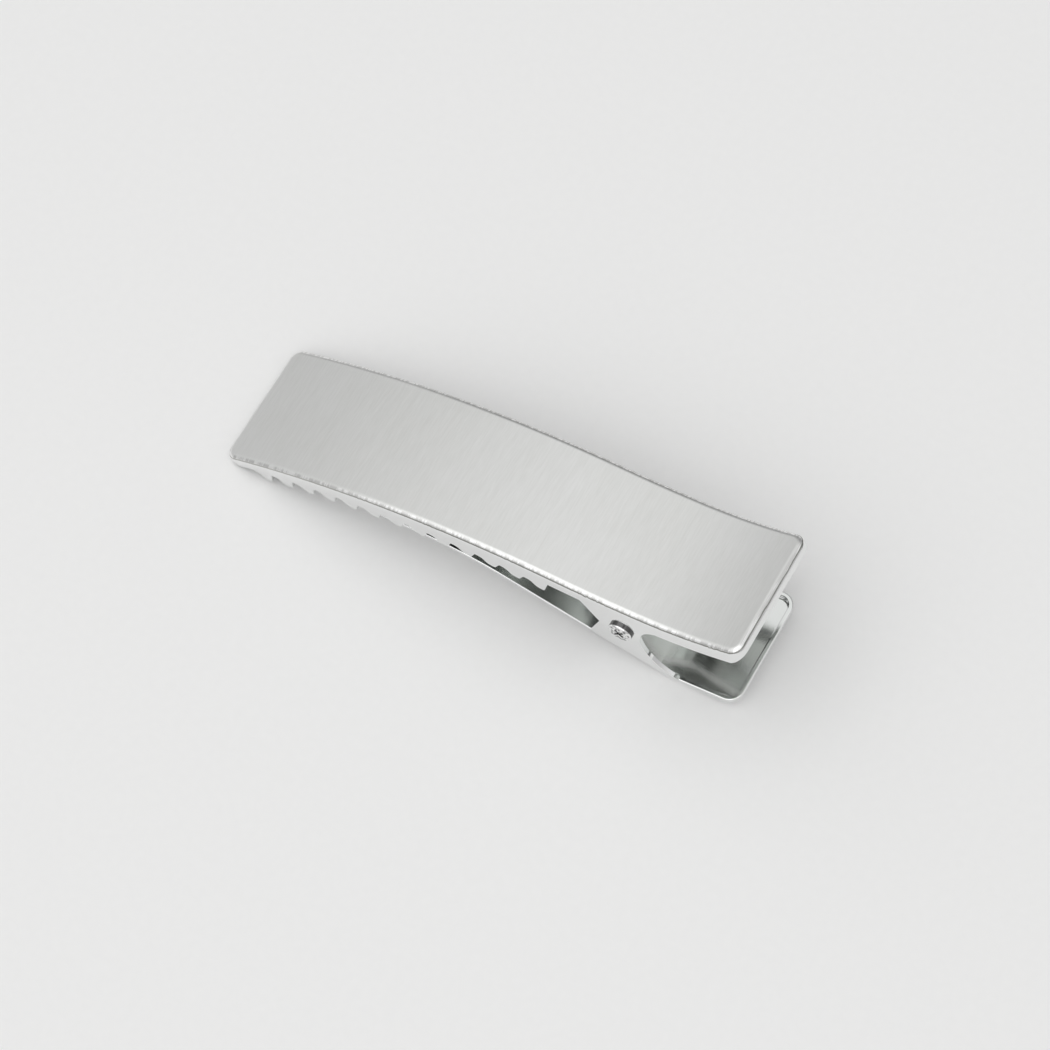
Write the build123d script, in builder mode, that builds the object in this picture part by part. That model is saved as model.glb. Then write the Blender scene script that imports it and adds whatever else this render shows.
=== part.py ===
"""Alligator hair clip of stamped steel sheet, closed and lying on a table.

The frame is in millimetres: +X runs from the tip to the finger handles, +Y is the hinge axis, +Z is up,
and the origin is the bottom centre of the closed clip.  Each jaw is one sheet that follows a side line
made of straight and round legs.  A place on a jaw is a run along its line and a depth under it.
"""

from build123d import *
from math import atan2, cos, degrees, hypot, radians, sin, tau
import os

# ---- driving dimensions -----------------------------------------------------------------------------
tip_to_centre = 35.155      # distance from the top line's front end back to the origin

sheet = 0.5                 # steel sheet of the upper jaw
upper_width = 16.5          # outside width of the upper jaw
upper_corner = 1.55         # plan corners of the upper jaw
upper_bend = 0.7            # outside radius of the bend between the top and its flange
ear_reach = 10.0            # depth of the pan that the flange and ears are cut from
tip_height = 1.061          # height of the top line's front end over the table
tip_slope = 27.8            # rise of the top line at the tip, degrees
upper_legs = [(47.8, -24.9), (10.6, 5.5), (13.7, 18.5)]    # length and turn of each leg of the top line

tooth_count = 13
tooth_pitch = 3.33
first_tooth = 6.6           # run of the first tooth's point
tooth_step = 0.55           # run of the steep side of a tooth
root_depth = 1.9            # depth of the valleys at the first tooth
root_growth = 0.085         # added depth of the valleys per tooth
tooth_height = 1.4          # height of the first tooth
tooth_shrink = 0.028        # lost height per tooth
tooth_round = 0.3           # rounding of a tooth's point
tooth_ease = 1.6            # how far the S of a tooth runs level at both ends
front_run = 0.2             # run of the top line where the sheet starts
tip_lip = 1.27              # depth of the flange at the tip
tip_flange = 1.65           # depth of the flange in front of the first tooth
flange_depth = 1.9          # depth of the flange between the teeth and the ears
strip_depth = 2.45          # depth of the flange over the side window
handle_lip = 1.35           # depth of the flange at the handle end
lip_rise = 1.9              # run over which the flange gets shallower towards the handle end

pin_run = 56.1              # place of the hinge pin under the top line
pin_depth = 5.05
pin_radius = 0.8
pin_head_radius = 1.5
pin_head_height = 0.55
pin_head_round = 0.3
stake_length = 1.5          # cross that staking leaves in the pin heads
stake_width = 0.26
stake_depth = 0.14
pin_fit = 0.04              # radial clearance of the pin in the lower jaw
ear_front = (51.2, 54.1)    # runs where the upper ear leaves the flange and where it ends
ear_depth = 6.6
ear_bottom = (56.3, 7.1)
ear_back = (57.6, 6.5)
ear_window = (58.5, 5.1)    # round corner of the side window, from the ear to the strip over it
window_corner = (59.25, 3.3)
window_start = 60.6

lower_sheet = 0.5           # steel sheet of the lower jaw
lower_half_width = 7.6      # ears and tray, inside the upper ears
front_half_width = 7.4      # front sheet, inside the upper flanges
front_corner = 2.0
front_edge_round = 0.18     # rolled side edges of the front sheet
tray_corner = 1.9
lower_bend = 0.9
lower_tip = (2.3, 0.835)    # front end of the lower jaw's bottom line
lower_slope = 14.0
lower_legs = [(26.0, -8.0), (11.0, -18.7), (20.3, 0), (4.0, 23.0), (6.9, 0)]
lower_ear_start = 48.2      # run of the bottom line where the lower ears start
lower_ear_lean = (0.6, 5.6)         # their front edge leans back over this run and height
lower_ear_radius = 2.05     # round top of the lower ears, about the pin
lower_ear_back = [(54.6, 4.7), (55.6, 3.5), (58.6, 1.8)]   # run and height of their back edge
tray_rim_start = 60.4
tray_rim = 1.2              # height of the tray's rim over its bottom
rim_round = 0.2             # rounding of the rim's outer edge
lower_ear_reach = 14.0      # height of the pan that the lower ears are cut from

wire_radius = 0.45          # spring wire
coil_radius = 1.75          # centre line of the coil
coil_turns = 5
coil_pitch = 1.0
coil_offset = 2.4           # middle of the coil, towards +Y
upper_leg_run = 64.0        # where the spring bears on each jaw
lower_leg_run = 60.5
leg_gap = 0.1


# ---- side lines -------------------------------------------------------------------------------------
def line_point(line, run, depth=0.0):
    """Point of a side line, as (x, z) from the tip, at a run along it and a depth under it."""
    (x, z), heading, legs = line
    for length, turn in legs:
        part = min(run, length)
        end = heading + turn * part / length
        if turn:
            radius = length / radians(turn)
            x += radius * (sin(radians(end)) - sin(radians(heading)))
            z += radius * (cos(radians(heading)) - cos(radians(end)))
        else:
            x += part * cos(radians(heading))
            z += part * sin(radians(heading))
        heading = end
        run -= part
        if run <= 0:
            break
    return x + depth * sin(radians(heading)), z - depth * cos(radians(heading))


def line_length(line):
    """Whole run of a side line."""
    return sum(length for length, turn in line[2])


def draw_line(line, depth, first, last):
    """Draw a side line at a depth, from one run to another, inside a BuildLine block."""
    done = 0.0
    for length, turn in line[2]:
        start = max(first, done)
        end = min(last, done + length)
        if end > start:
            points = [line_point(line, run, depth) for run in (start, (start + end) / 2, end)]
            if turn:
                ThreePointArc(*points)
            else:
                Line(points[0], points[2])
        done += length


side_plane = Plane(origin=(-tip_to_centre, 0, 0), x_dir=(1, 0, 0), z_dir=(0, -1, 0))
top_line = ((0.0, tip_height), tip_slope, upper_legs)
bottom_line = (lower_tip, lower_slope, lower_legs)
top_run = line_length(top_line)
bottom_run = line_length(bottom_line)
pin_x, pin_z = line_point(top_line, pin_run, pin_depth)
pin_plane = Plane(origin=(pin_x - tip_to_centre, 0, pin_z), x_dir=(1, 0, 0), z_dir=(0, 1, 0))


def pan(line, first, last, depth, reach, half_width, corner, bend, round_ends):
    """Solid block between a side line and a deeper one, with round plan corners and a round edge."""
    line_side = 1 if reach > depth else -1
    with BuildPart() as block:
        with BuildSketch(side_plane):
            with BuildLine():
                draw_line(line, depth, first, last)
                Polyline(
                    line_point(line, last, depth),
                    line_point(line, last, reach),
                    line_point(line, first, reach),
                    line_point(line, first, depth),
                )
            make_face()
        extrude(amount=half_width, both=True)
        ends = [line_point(line, run, (depth + reach) / 2) for run in round_ends]
        corners = [
            edge
            for edge in block.edges().filter_by(GeomType.LINE)
            if abs(abs(edge.center().Y) - half_width) < 0.01
            and min(hypot(edge.center().X + tip_to_centre - x, edge.center().Z - z) for x, z in ends) < 0.5
        ]
        fillet(corners, corner)
        faces = [face for face in block.faces() if face.normal_at(face.center()).Z * line_side > 0.5]
        edges = [edge for face in faces for edge in face.edges()]
        rim = [edge for edge in edges if sum(edge.is_same(other) for other in edges) == 1]
        fillet(rim, bend)
    return block.part


# ---- upper jaw --------------------------------------------------------------------------------------
upper_outside = pan(
    top_line,
    front_run,
    top_run,
    0,
    ear_reach,
    upper_width / 2,
    upper_corner,
    upper_bend,
    (front_run, top_run),
)
upper_inside = pan(
    top_line,
    front_run + sheet,
    top_run - sheet,
    sheet,
    ear_reach + 1,
    upper_width / 2 - sheet,
    upper_corner - sheet,
    upper_bend - sheet,
    (front_run + sheet, top_run - sheet),
)


def under_top(run, depth):
    """Point under the top line."""
    return line_point(top_line, run, depth)


def tooth_edges(index):
    """Wave-shaped lower edge of one tooth: a gentle S down to its point and a steep step back up."""
    point_run = first_tooth + index * tooth_pitch
    start_run = point_run - tooth_pitch + tooth_step
    depth = root_depth + index * root_growth
    before = tip_flange if index == 0 else depth - root_growth
    after = flange_depth if index == tooth_count - 1 else depth
    tip = depth + tooth_height - index * tooth_shrink
    crest_run = point_run - tooth_round
    turned = tooth_round * sin(radians(45))
    Bezier(
        under_top(start_run, before),
        under_top(start_run + tooth_ease, before),
        under_top(crest_run - tooth_ease, tip),
        under_top(crest_run, tip),
    )
    ThreePointArc(
        under_top(crest_run, tip),
        under_top(crest_run + turned, tip - tooth_round + turned),
        under_top(point_run, tip - tooth_round),
    )
    Line(under_top(point_run, tip - tooth_round), under_top(point_run + tooth_step, after))


last_tooth = first_tooth + (tooth_count - 1) * tooth_pitch
flange_start = 2.0          # run where the flange at the tip reaches its depth
sky = 30.0                  # above everything
margin = 3.0                # past the ends of the clip
with BuildSketch(side_plane) as flange_outline:
    with BuildLine():
        Line(under_top(0, tip_lip), under_top(flange_start, tip_flange))
        draw_line(top_line, tip_flange, flange_start, first_tooth - tooth_pitch + tooth_step)
        for index in range(tooth_count):
            tooth_edges(index)
        draw_line(top_line, flange_depth, last_tooth + tooth_step, ear_front[0])
        Line(under_top(ear_front[0], flange_depth), under_top(ear_front[1], ear_depth))
        ThreePointArc(under_top(ear_front[1], ear_depth), under_top(*ear_bottom), under_top(*ear_back))
        Line(under_top(*ear_back), under_top(*ear_window))
        ThreePointArc(
            under_top(*ear_window), under_top(*window_corner), under_top(window_start, strip_depth)
        )
        draw_line(top_line, strip_depth, window_start, top_run - lip_rise)
        end = under_top(top_run, handle_lip)
        start = under_top(0, tip_lip)
        Polyline(
            under_top(top_run - lip_rise, strip_depth),
            end,
            (end[0] + margin, end[1]),
            (end[0] + margin, sky),
            (start[0] - margin, sky),
            (start[0] - margin, start[1] - margin * sin(radians(tip_slope))),
            start,
        )
    make_face()

with BuildPart() as upper_jaw:
    add(upper_outside)
    add(upper_inside, mode=Mode.SUBTRACT)
    extrude(flange_outline.sketch, amount=upper_width, both=True, mode=Mode.INTERSECT)
    with BuildSketch(pin_plane):
        Circle(pin_radius)
    extrude(amount=upper_width, both=True, mode=Mode.SUBTRACT)
upper_jaw.part.label = "upper_jaw"


# ---- lower jaw --------------------------------------------------------------------------------------
def over_bottom(run, height):
    """Point over the bottom line of the lower jaw."""
    return line_point(bottom_line, run, -height)


pan_start = lower_ear_start - 5.0
lower_outside = pan(
    bottom_line,
    pan_start,
    bottom_run,
    0,
    -lower_ear_reach,
    lower_half_width,
    tray_corner,
    lower_bend,
    (bottom_run,),
)
lower_inside = pan(
    bottom_line,
    pan_start - 1,
    bottom_run - lower_sheet,
    -lower_sheet,
    -lower_ear_reach - 1,
    lower_half_width - lower_sheet,
    tray_corner - lower_sheet,
    lower_bend - lower_sheet,
    (bottom_run - lower_sheet,),
)

rounded_rim = pan(
    bottom_line,
    pan_start,
    bottom_run,
    -tray_rim,
    margin,
    lower_half_width,
    tray_corner,
    rim_round,
    (bottom_run,),
)
with BuildSketch(side_plane) as before_tray:
    with BuildLine():
        Polyline(
            over_bottom(tray_rim_start, -margin),
            over_bottom(tray_rim_start, lower_ear_reach),
            over_bottom(pan_start, lower_ear_reach),
            over_bottom(pan_start, -margin),
            close=True,
        )
    make_face()
with BuildPart() as tray_limit:
    add(rounded_rim)
    extrude(before_tray.sketch, amount=upper_width, both=True)

ear_foot = over_bottom(lower_ear_start, 0)
ear_shoulder = over_bottom(lower_ear_start + lower_ear_lean[0], lower_ear_lean[1])
with BuildSketch(side_plane) as ear_outline:
    with BuildLine():
        ear_top = ThreePointArc(
            (pin_x - lower_ear_radius, pin_z),
            (pin_x, pin_z + lower_ear_radius),
            (pin_x + lower_ear_radius, pin_z),
        )
        Polyline(ear_top @ 0, ear_shoulder, ear_foot, (ear_foot[0], -margin))
        ear_back_line = [over_bottom(*place) for place in lower_ear_back]
        Spline(ear_top @ 1, *ear_back_line, over_bottom(tray_rim_start, tray_rim))
        draw_line(bottom_line, -tray_rim, tray_rim_start, bottom_run)
        end = over_bottom(bottom_run, tray_rim)
        Polyline(end, (end[0] + margin, end[1]), (end[0] + margin, -margin), (ear_foot[0], -margin))
    make_face()

with BuildSketch(side_plane) as front_outline:
    with BuildLine():
        draw_line(bottom_line, 0, 0, lower_ear_start + 1)
        draw_line(bottom_line, -lower_sheet, 0, lower_ear_start + 1)
        Line(over_bottom(0, 0), over_bottom(0, lower_sheet))
        Line(over_bottom(lower_ear_start + 1, 0), over_bottom(lower_ear_start + 1, lower_sheet))
    make_face()

with BuildPart() as front_sheet:
    extrude(front_outline.sketch, amount=front_half_width, both=True)
    tip_edges = front_sheet.edges().filter_by(GeomType.LINE).group_by(Axis.X)[0:2]
    fillet([edge for group in tip_edges for edge in group if abs(edge.center().Y) > 1], front_corner)
    long_edges = [
        edge for edge in front_sheet.edges() if abs(abs(edge.center().Y) - front_half_width) < 0.01
    ]
    fillet([edge for edge in long_edges if edge.length > 1], front_edge_round)

with BuildPart() as lower_jaw:
    add(lower_outside)
    add(lower_inside, mode=Mode.SUBTRACT)
    extrude(ear_outline.sketch, amount=upper_width, both=True, mode=Mode.INTERSECT)
    add(tray_limit.part, mode=Mode.INTERSECT)
    add(front_sheet.part)
    with BuildSketch(pin_plane):
        Circle(pin_radius + pin_fit)
    extrude(amount=upper_width, both=True, mode=Mode.SUBTRACT)
lower_jaw.part.label = "lower_jaw"

# ---- pivot pin --------------------------------------------------------------------------------------
with BuildPart() as pivot_pin:
    with BuildSketch(pin_plane):
        Circle(pin_radius)
    extrude(amount=upper_width / 2, both=True)
    for side in (-1, 1):
        with BuildSketch(pin_plane.offset(side * upper_width / 2)):
            Circle(pin_head_radius)
        extrude(amount=side * pin_head_height)
    ends = pivot_pin.faces().filter_by(Axis.Y).sort_by(Axis.Y)
    fillet(ends[0].edges() + ends[-1].edges(), pin_head_round)
    for side in (-1, 1):
        with BuildSketch(pin_plane.offset(side * (upper_width / 2 + pin_head_height))):
            SlotOverall(stake_length, stake_width, rotation=45)
            SlotOverall(stake_length, stake_width, rotation=-45)
        extrude(amount=-side * stake_depth, mode=Mode.SUBTRACT)
pivot_pin.part.label = "pivot_pin"

# ---- torsion spring ---------------------------------------------------------------------------------
upper_rest = line_point(top_line, upper_leg_run, sheet + leg_gap + wire_radius)
lower_rest = over_bottom(lower_leg_run, lower_sheet + leg_gap + wire_radius)


def leg(rest):
    """Length and heading of a straight leg from the coil to the place where its end rests."""
    distance = hypot(rest[0] - pin_x, rest[1] - pin_z)
    length = (distance**2 - coil_radius**2) ** 0.5
    slope = abs(atan2(rest[1] - pin_z, rest[0] - pin_x)) - atan2(coil_radius, length)
    return length, degrees(slope)


upper_length, upper_rise = leg(upper_rest)
lower_length, lower_fall = leg(lower_rest)
turns = coil_turns + (180 - upper_rise - lower_fall) / 360
start_angle = radians(270 - lower_fall)
coil_height = turns * coil_pitch
coil_plane = Plane(
    origin=pin_plane.origin - Vector(0, coil_height / 2, 0),
    x_dir=(cos(start_angle), 0, sin(start_angle)),
    z_dir=(0, 1, 0),
)
rise_ratio = hypot(coil_pitch, tau * coil_radius) / (tau * coil_radius)

with BuildLine() as wire_line:
    coil = Helix(pitch=coil_pitch, height=coil_height, radius=coil_radius)
    Line(coil @ 0 - (coil % 0) * lower_length * rise_ratio, coil @ 0)
    Line(coil @ 1, coil @ 1 + (coil % 1) * upper_length * rise_ratio)
wire_path = coil_plane.from_local_coords(wire_line.wire()).mirror(Plane.XZ)
wire_path = wire_path.moved(Location((0, coil_offset, 0)))

with BuildPart() as torsion_spring:
    with BuildSketch(Plane(origin=wire_path @ 0, z_dir=wire_path % 0)):
        Circle(wire_radius)
    sweep(path=wire_path)
torsion_spring.part.label = "torsion_spring"

os.makedirs("parts", exist_ok=True)
export_step(upper_jaw.part, "parts/upper_jaw.step")
export_step(lower_jaw.part, "parts/lower_jaw.step")
export_step(pivot_pin.part, "parts/pivot_pin.step")
export_step(torsion_spring.part, "parts/torsion_spring.step")
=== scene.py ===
"""Alligator hair clip: looks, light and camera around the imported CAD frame."""

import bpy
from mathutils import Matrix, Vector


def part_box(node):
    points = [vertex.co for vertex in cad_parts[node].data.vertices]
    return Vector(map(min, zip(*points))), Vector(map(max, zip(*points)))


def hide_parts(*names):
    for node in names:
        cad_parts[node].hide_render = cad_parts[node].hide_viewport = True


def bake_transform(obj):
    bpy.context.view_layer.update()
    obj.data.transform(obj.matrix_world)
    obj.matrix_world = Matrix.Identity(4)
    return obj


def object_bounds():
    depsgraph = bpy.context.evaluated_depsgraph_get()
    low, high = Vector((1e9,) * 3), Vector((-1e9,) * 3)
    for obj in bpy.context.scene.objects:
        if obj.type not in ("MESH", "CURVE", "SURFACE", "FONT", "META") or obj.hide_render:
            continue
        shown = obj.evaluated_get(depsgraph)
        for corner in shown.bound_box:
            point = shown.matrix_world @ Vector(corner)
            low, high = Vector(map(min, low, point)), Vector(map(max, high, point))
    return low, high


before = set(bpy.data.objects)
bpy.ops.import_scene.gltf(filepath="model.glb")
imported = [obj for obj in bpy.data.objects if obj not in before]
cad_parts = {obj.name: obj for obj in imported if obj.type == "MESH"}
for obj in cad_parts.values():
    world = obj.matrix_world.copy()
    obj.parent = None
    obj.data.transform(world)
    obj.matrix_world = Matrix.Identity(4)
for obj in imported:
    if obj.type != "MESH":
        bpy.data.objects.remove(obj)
cad_box = [list(corner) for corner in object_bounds()]

import bpy
from math import cos, pi, radians, sin, tau
from mathutils import Matrix, Vector

MM = 0.001

# ---- camera, at the photograph's angle ---------------------------------------------------------------
IMAGE_PIXELS = 1050
SENSOR = 36.0
FOCAL_PIXELS = 3326.0
AZIMUTH = radians(35.25)
ELEVATION = radians(65.00)
ROLL = radians(-6.09)
DISTANCE = 383.1 * MM
AIM_OFFSET = Vector((3.07, -1.58, -1.28)) * MM      # from the middle of the clip's box
TO_CAMERA = Vector((sin(AZIMUTH) * cos(ELEVATION), -cos(AZIMUTH) * cos(ELEVATION), sin(ELEVATION)))


def centre_of(box):
    """Middle of a box given by its lowest and highest corners."""
    return (Vector(box[0]) + Vector(box[1])) / 2


def add_camera():
    """Camera on a ray through a point near the clip's middle, rolled as the photograph is."""
    aim = centre_of(cad_box) + AIM_OFFSET
    right = Vector((0, 0, 1)).cross(TO_CAMERA).normalized()
    up = TO_CAMERA.cross(right)
    turned_right = right * cos(ROLL) + up * sin(ROLL)
    turned_up = up * cos(ROLL) - right * sin(ROLL)
    camera = bpy.data.objects.new("camera", bpy.data.cameras.new("camera"))
    camera.data.sensor_width = SENSOR
    camera.data.lens = FOCAL_PIXELS / IMAGE_PIXELS * SENSOR
    camera.data.clip_start = 0.01
    camera.data.clip_end = 20
    turn = Matrix((turned_right, turned_up, TO_CAMERA)).transposed().to_4x4()
    camera.matrix_world = Matrix.Translation(aim + TO_CAMERA * DISTANCE) @ turn
    bpy.context.collection.objects.link(camera)
    bpy.context.scene.camera = camera


# ---- node graphs --------------------------------------------------------------------------------------
class Graph:
    """Short names for the nodes of one material or world."""

    def __init__(self, tree):
        self.tree = tree

    def put(self, value, socket):
        """Link a socket, or set a value on it."""
        if isinstance(value, bpy.types.NodeSocket):
            self.tree.links.new(value, socket)
        else:
            socket.default_value = value

    def node(self, kind, inputs=(), **settings):
        """Node with its inputs by place or name."""
        made = self.tree.nodes.new("ShaderNode" + kind)
        for name, value in settings.items():
            setattr(made, name, value)
        for key, value in dict(inputs).items():
            self.put(value, made.inputs[key])
        return made

    def math(self, operation, *values):
        """Result of one sum on numbers."""
        return self.node("Math", enumerate(values), operation=operation).outputs[0]

    def step(self, value, low, high):
        """Smooth rise from 0 at low to 1 at high."""
        inputs = {"Value": value, "From Min": low, "From Max": high}
        return self.node("MapRange", inputs, interpolation_type="SMOOTHSTEP").outputs[0]

    def ramp(self, value, low, high):
        """Straight rise from 0 at low to 1 at high."""
        return self.node("MapRange", {"Value": value, "From Min": low, "From Max": high}).outputs[0]

    def blend(self, factor, first, second):
        """Number between two others."""
        inputs = {"Factor": factor, "A": first, "B": second}
        return self.node("Mix", inputs, data_type="FLOAT").outputs[0]

    def colour(self, factor, first, second):
        """Colour between two others."""
        made = self.node("Mix", {"Factor": factor}, data_type="RGBA")
        for value, place in ((first, 6), (second, 7)):
            linked = isinstance(value, bpy.types.NodeSocket)
            self.put(value if linked else (*value, 1), made.inputs[place])
        return made.outputs[2]

    def object_place(self):
        """Place on the object, in metres."""
        return self.node("TexCoord").outputs["Object"]

    def object_normal(self):
        """Normal in the object's frame, split in its three parts."""
        normal = self.node("TexCoord").outputs["Normal"]
        return self.node("SeparateXYZ", {0: normal}).outputs

    def noise(self, per_metre, detail=3.0):
        """Noise whose grains measure one part of a metre along each axis."""
        scaled = self.node("VectorMath", {0: self.object_place(), 1: per_metre}, operation="MULTIPLY")
        inputs = {"Vector": scaled.outputs[0], "Scale": 1.0, "Detail": detail, "Roughness": 0.6}
        return self.node("TexNoise", inputs).outputs["Fac"]


def new_material(name, **uniform):
    """Node material: its graph, its principled shader and itself, with uniform values set."""
    material = bpy.data.materials.new(name)
    material.use_nodes = True
    shader = material.node_tree.nodes["Principled BSDF"]
    for socket, value in uniform.items():
        shader.inputs[socket.replace("_", " ")].default_value = value
    return Graph(material.node_tree), shader, material


# ---- floor and light ----------------------------------------------------------------------------------
FLOOR_SIZE = 6.0
WINDOW_PLACE = (-0.13, -0.65, 1.12)
WINDOW_SIZE = 2.0
WINDOW_POWER = 7.0
CAMERA_SHADE = (cos(radians(11)), cos(radians(6)))     # where the dark round the camera starts and is full


def add_floor():
    """Plain pale table."""
    bpy.ops.mesh.primitive_plane_add(size=FLOOR_SIZE, location=(0, 0, cad_box[0][2]))
    floor = bpy.context.object
    floor.name = "floor"
    graph, shader, material = new_material("table", Roughness=0.85)
    pale = graph.colour(graph.noise((900, 900, 900)), (0.9, 0.9, 0.895), (0.93, 0.93, 0.925))
    graph.put(pale, shader.inputs["Base Color"])
    floor.data.materials.append(material)


def add_area_light(name, position, size, power):
    """Soft square light that faces the clip."""
    light = bpy.data.lights.new(name, "AREA")
    light.size = size
    light.energy = power
    lamp = bpy.data.objects.new(name, light)
    lamp.location = position
    lamp.rotation_euler = (-Vector(position)).to_track_quat("-Z", "Y").to_euler()
    bpy.context.collection.objects.link(lamp)


def add_world():
    """White room that is darker near the horizon, and darkest where the camera stands."""
    world = bpy.data.worlds.new("room")
    bpy.context.scene.world = world
    world.use_nodes = True
    graph = Graph(world.node_tree)
    direction = graph.node("TexCoord").outputs["Generated"]
    height = graph.node("SeparateXYZ", {0: direction}).outputs[2]
    across = graph.node("SeparateXYZ", {0: direction}).outputs[1]
    sky = graph.colour(graph.step(height, 0.15, 0.95), (0.55, 0.55, 0.55), (0.84, 0.84, 0.84))
    far_side = graph.math("MULTIPLY", graph.step(across, 0.3, 0.8), graph.step(height, 0.95, 0.5))
    sky = graph.colour(far_side, sky, (0.3, 0.3, 0.3))
    low = graph.math("MULTIPLY", graph.step(height, 0.14, 0.02), graph.step(across, 0.0, -0.5))
    sky = graph.colour(low, sky, (0.12, 0.125, 0.13))
    facing = graph.node("VectorMath", {0: direction, 1: TO_CAMERA}, operation="DOT_PRODUCT").outputs["Value"]
    sky = graph.colour(graph.step(facing, *CAMERA_SHADE), sky, (0.02, 0.02, 0.02))
    background = world.node_tree.nodes["Background"]
    graph.put(sky, background.inputs["Color"])
    background.inputs["Strength"].default_value = 1.0


# ---- upper jaw: brushed top, painted dark reflection line at the bend, polished flange --------------------
TOP_START = cad_box[0][0] - 0.423 * MM      # front end of the top line
TOP_HEADINGS = (27.8, 2.9, 8.4, 26.9)       # rise of the top line where its arcs meet, degrees
TOP_LEGS = (47.8 * MM, 10.6 * MM, 13.7 * MM)    # lengths of its arcs
BEND_LINE = 0.5                             # cosine of the bend angle where the brushing ends and the painted dark reflection line lies
FINE_GRAIN = (5200, 420, 420)               # grains per metre along the clip, across it and up
STREAKS = (1300, 60, 60)
BEND_SCRATCHES = (2600, 160, 160)
BEND_JAGS = (3000, 500, 500)
PAINTED_LINE_GROWS = (-28 * MM, -4 * MM)            # the painted dark reflection line gets darker and more jagged between these places


def turned_from_top(graph):
    """Cosine of the angle between a point's normal and the top's own normal over it."""
    across = graph.node("SeparateXYZ", {0: graph.object_place()}).outputs[0]
    rise = sin(radians(TOP_HEADINGS[0]))
    start = TOP_START
    for length, first, last in zip(TOP_LEGS, TOP_HEADINGS, TOP_HEADINGS[1:]):
        change = sin(radians(last)) - sin(radians(first))
        end = start + length / radians(last - first) * change
        rise = graph.math("MULTIPLY_ADD", graph.ramp(across, start, end), change, rise)
        start = end
    level = graph.math("SQRT", graph.math("SUBTRACT", 1.0, graph.math("MULTIPLY", rise, rise)))
    normal = graph.object_normal()
    forward = graph.math("MULTIPLY", rise, normal[0])
    return graph.math("SUBTRACT", graph.math("MULTIPLY", level, normal[2]), forward)


def jaw_steel():
    """Steel brushed across the width on top and polished on the flange and inside, with a painted dark
    reflection line where the brushing ends at the bend.
    """
    graph, shader, material = new_material("brushed_steel", Metallic=1.0, Anisotropic=0.45)
    turned = turned_from_top(graph)
    fine = graph.noise(FINE_GRAIN, 4.0)
    streak = graph.noise(STREAKS)
    cloud = graph.noise((70, 70, 70))
    tone = graph.math("ADD", graph.math("MULTIPLY", fine, 0.75), graph.math("MULTIPLY", streak, 0.25))
    tone = graph.ramp(tone, 0.25, 0.75)
    dull = graph.colour(tone, (0.765, 0.77, 0.75), (0.855, 0.86, 0.845))
    bright = graph.colour(tone, (0.79, 0.795, 0.78), (0.87, 0.875, 0.865))
    top = graph.colour(graph.step(cloud, 0.3, 0.7), dull, bright)

    scratches = graph.noise(BEND_SCRATCHES, 2.0)
    band = graph.colour(graph.step(scratches, 0.45, 0.58), (0.68, 0.68, 0.67), (0.92, 0.92, 0.915))
    along = graph.node("SeparateXYZ", {0: graph.object_place()}).outputs[0]
    # painted dark reflection line at the bend: darker and more jagged behind the tip
    behind_tip = graph.step(along, *PAINTED_LINE_GROWS)
    line_jag_strength = graph.math("MULTIPLY", graph.step(graph.noise((110, 110, 110)), 0.35, 0.65), behind_tip)
    jag = graph.math("SUBTRACT", graph.noise(BEND_JAGS, 2.0), 0.5)
    jag = graph.math("MULTIPLY", jag, graph.blend(line_jag_strength, 0.06, 0.6))
    shifted = graph.math("ADD", turned, jag)
    upper_side = graph.step(shifted, BEND_LINE + 0.13, BEND_LINE + 0.07)
    lower_side = graph.step(shifted, BEND_LINE - 0.06, BEND_LINE - 0.12)

    base = graph.colour(graph.step(turned, 0.985, 0.86), top, band)
    # painted dark reflection line between the brushed band and the polished flange
    line = graph.colour(behind_tip, (0.5, 0.5, 0.48), (0.3, 0.3, 0.28))
    base = graph.colour(upper_side, base, line)
    polish = graph.colour(cloud, (0.84, 0.845, 0.84), (0.88, 0.88, 0.88))
    base = graph.colour(lower_side, base, polish)
    inside = graph.step(turned, -0.2, -0.5)
    base = graph.colour(inside, base, (0.68, 0.7, 0.68))
    graph.put(base, shader.inputs["Base Color"])

    rough = graph.blend(tone, 0.36, 0.28)
    rough = graph.blend(upper_side, rough, 0.5)
    rough = graph.blend(lower_side, rough, graph.blend(cloud, 0.05, 0.11))
    rough = graph.blend(inside, rough, 0.14)
    graph.put(rough, shader.inputs["Roughness"])

    grain = graph.math("MULTIPLY", graph.math("SUBTRACT", 1.0, lower_side), tone)
    bump = graph.node("Bump", {"Height": grain, "Strength": 0.22, "Distance": 0.004 * MM})
    graph.put(bump.outputs[0], shader.inputs["Normal"])
    grooves = graph.node("Tangent", direction_type="RADIAL", axis="Y")
    graph.put(grooves.outputs[0], shader.inputs["Tangent"])
    return material


# ---- other metals -----------------------------------------------------------------------------------------
CROSS_SHADE_DEPTH = (8.77 * MM, 8.7 * MM)     # from the clip's middle: where the painted shade in the cross's grooves starts and is full
CROSS_RADIUS = (0.95 * MM, 0.85 * MM)
CREASE_SHADE_DEPTH = (8.1 * MM, 8.25 * MM)    # where the painted shade in the crease behind the heads starts and is full


def chrome():
    """Polished steel with faint wiping marks, satin on the faces that look up."""
    graph, shader, material = new_material("polished_steel", Metallic=1.0)
    cloud = graph.noise((120, 120, 120))
    wipe = graph.noise((260, 2200, 2200))
    upward = graph.step(graph.object_normal()[2], 0.9, 0.97)
    bright = graph.colour(cloud, (0.82, 0.83, 0.825), (0.88, 0.88, 0.88))
    graph.put(graph.colour(upward, bright, (0.87, 0.89, 0.875)), shader.inputs["Base Color"])
    mirror = graph.blend(wipe, 0.03, 0.08)
    satin = graph.blend(wipe, 0.09, 0.15)
    graph.put(graph.blend(upward, mirror, satin), shader.inputs["Roughness"])
    bump = graph.node("Bump", {"Height": cloud, "Strength": 0.15, "Distance": 0.03 * MM})
    graph.put(bump.outputs[0], shader.inputs["Normal"])
    return material


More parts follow.
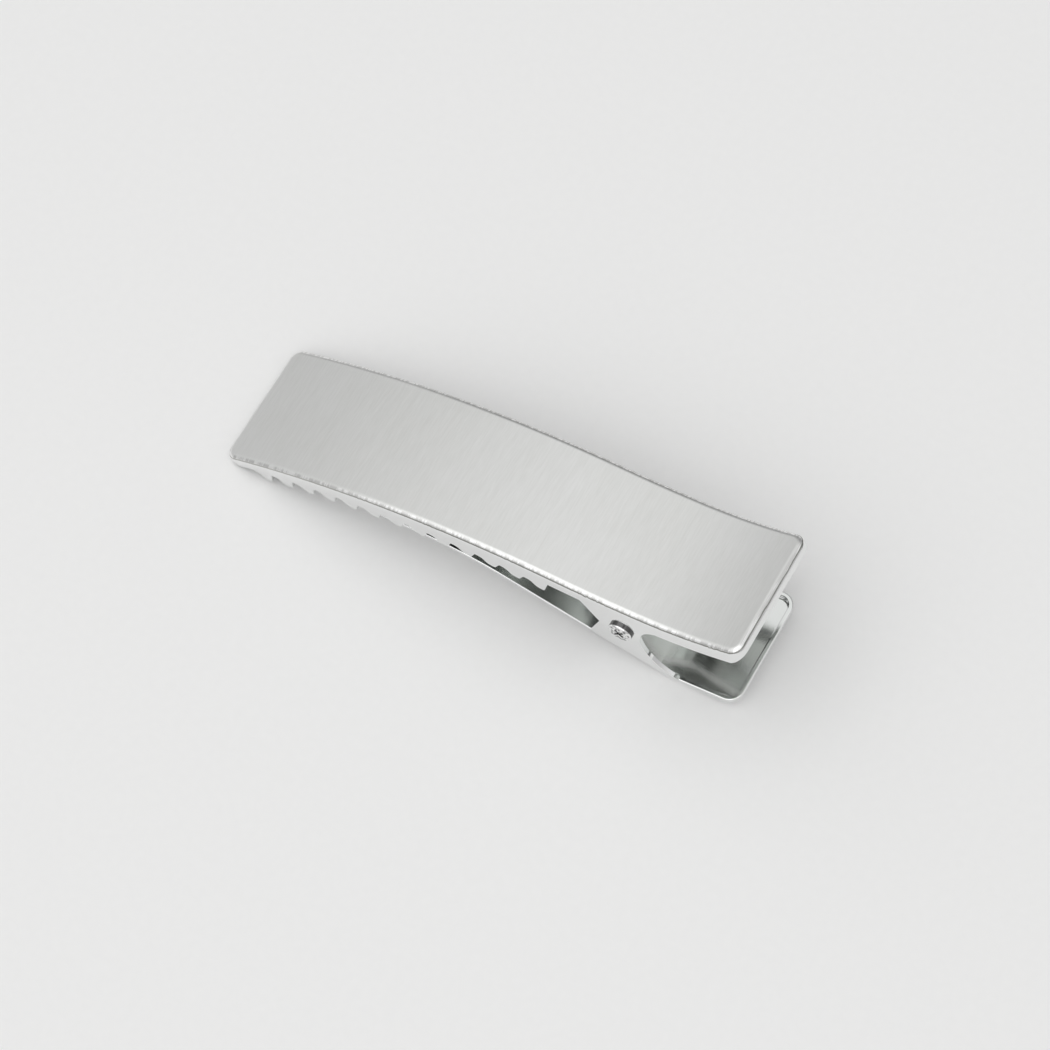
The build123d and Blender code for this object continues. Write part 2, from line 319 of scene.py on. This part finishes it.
def staked_steel():
    """Polished pin: heads hammered round a staking cross, with painted shade in the cross's grooves and in
    the crease behind them.
    """
    graph, shader, material = new_material("pin_steel", Metallic=1.0)
    facing = graph.math("ABSOLUTE", graph.object_normal()[1])
    head = graph.step(facing, 0.75, 0.95)
    axis = {0: graph.object_place(), 1: centre_of(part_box("pivot_pin"))}
    place = graph.node("VectorMath", axis, operation="SUBTRACT").outputs[0]
    depth = graph.math("ABSOLUTE", graph.node("SeparateXYZ", {0: place}).outputs[1])
    flat = graph.node("VectorMath", {0: place, 1: (1, 0, 1)}, operation="MULTIPLY").outputs[0]
    radius = graph.node("VectorMath", {0: flat}, operation="LENGTH").outputs["Value"]
    # painted shade in the grooves of the staking cross
    cross = graph.step(depth, *CROSS_SHADE_DEPTH)
    cross = graph.math("MULTIPLY", cross, graph.step(radius, *CROSS_RADIUS))
    dents = graph.noise((2600, 2600, 2600), 1.0)
    marks = graph.math("MULTIPLY", head, graph.step(dents, 0.5, 0.6))
    # painted shade in the crease behind the heads
    crease_shade = graph.math("MULTIPLY", graph.step(facing, 0.3, 0.1), graph.step(depth, *CREASE_SHADE_DEPTH))
    # dark: painted shade in the cross and the crease, plus the heads' hammer marks
    dark = graph.math("MAXIMUM", graph.math("MAXIMUM", cross, marks), crease_shade)
    graph.put(graph.colour(dark, (0.88, 0.88, 0.88), (0.14, 0.14, 0.14)), shader.inputs["Base Color"])
    graph.put(graph.blend(dents, 0.04, 0.12), shader.inputs["Roughness"])
    hammered = graph.math("MULTIPLY", head, dents)
    bump = graph.node("Bump", {"Height": hammered, "Strength": 0.6, "Distance": 0.1 * MM})
    graph.put(bump.outputs[0], shader.inputs["Normal"])
    return material


def drawn_wire():
    """Spring steel with drawing marks."""
    graph, shader, material = new_material("wire_steel", Metallic=1.0)
    marks = graph.noise((900, 4000, 900))
    graph.put(graph.colour(marks, (0.5, 0.5, 0.49), (0.72, 0.72, 0.71)), shader.inputs["Base Color"])
    graph.put(graph.blend(marks, 0.16, 0.3), shader.inputs["Roughness"])
    return material


def paint(node, material):
    """Give a CAD node a material."""
    for slot in bpy.data.objects[node].material_slots:
        slot.material = material


# ---- spring: wire coiled round the pin, with a leg to each jaw --------------------------------------------
WIRE_RADIUS = 0.45 * MM
COIL_RADIUS = 1.75 * MM
COIL_PITCH = 1.0 * MM
COIL_TURNS = 5.317
COIL_OFFSET = 2.4 * MM          # middle of the coil, towards +Y
LOWER_FALL = radians(40.12)     # slope of the leg down to the lower jaw
LOWER_LENGTH = 10.7 * MM
UPPER_LENGTH = 9.05 * MM
STEPS_PER_TURN = 32


def coil_point(turn):
    """Point of the coil's centre line after a number of turns from the lower jaw's end."""
    centre = centre_of(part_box("pivot_pin"))
    angle = 1.5 * pi - LOWER_FALL - turn * tau
    along = COIL_OFFSET + (COIL_TURNS / 2 - turn) * COIL_PITCH
    return centre + Vector((cos(angle) * COIL_RADIUS, along, sin(angle) * COIL_RADIUS))


def add_spring():
    """Wire from the lower leg's end round the coil to the upper leg's end."""
    steps = round(COIL_TURNS * STEPS_PER_TURN)
    coil = [coil_point(COIL_TURNS * step / steps) for step in range(steps + 1)]
    leaving = (coil[0] - coil_point(0.002)).normalized()
    arriving = (coil[-1] - coil_point(COIL_TURNS - 0.002)).normalized()
    points = [coil[0] + leaving * LOWER_LENGTH, *coil, coil[-1] + arriving * UPPER_LENGTH]
    line = bpy.data.curves.new("spring", "CURVE")
    line.dimensions = "3D"
    line.bevel_depth = WIRE_RADIUS
    line.bevel_resolution = 5
    line.use_fill_caps = True
    path = line.splines.new("POLY")
    path.points.add(len(points) - 1)
    for point, place in zip(path.points, points):
        point.co = (*place, 1)
    spring = bpy.data.objects.new("spring", line)
    bpy.context.collection.objects.link(spring)
    bpy.context.view_layer.objects.active = spring
    spring.select_set(True)
    bpy.ops.object.convert(target="MESH")
    spring = bpy.context.object
    for face in spring.data.polygons:
        face.use_smooth = True
    spring.data.materials.append(drawn_wire())
    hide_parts("torsion_spring")
    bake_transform(spring)


add_camera()
add_floor()
add_world()
add_area_light("window", WINDOW_PLACE, WINDOW_SIZE, WINDOW_POWER)
bpy.context.scene.view_settings.view_transform = "Standard"

paint("upper_jaw", jaw_steel())
paint("lower_jaw", chrome())
paint("pivot_pin", staked_steel())
add_spring()
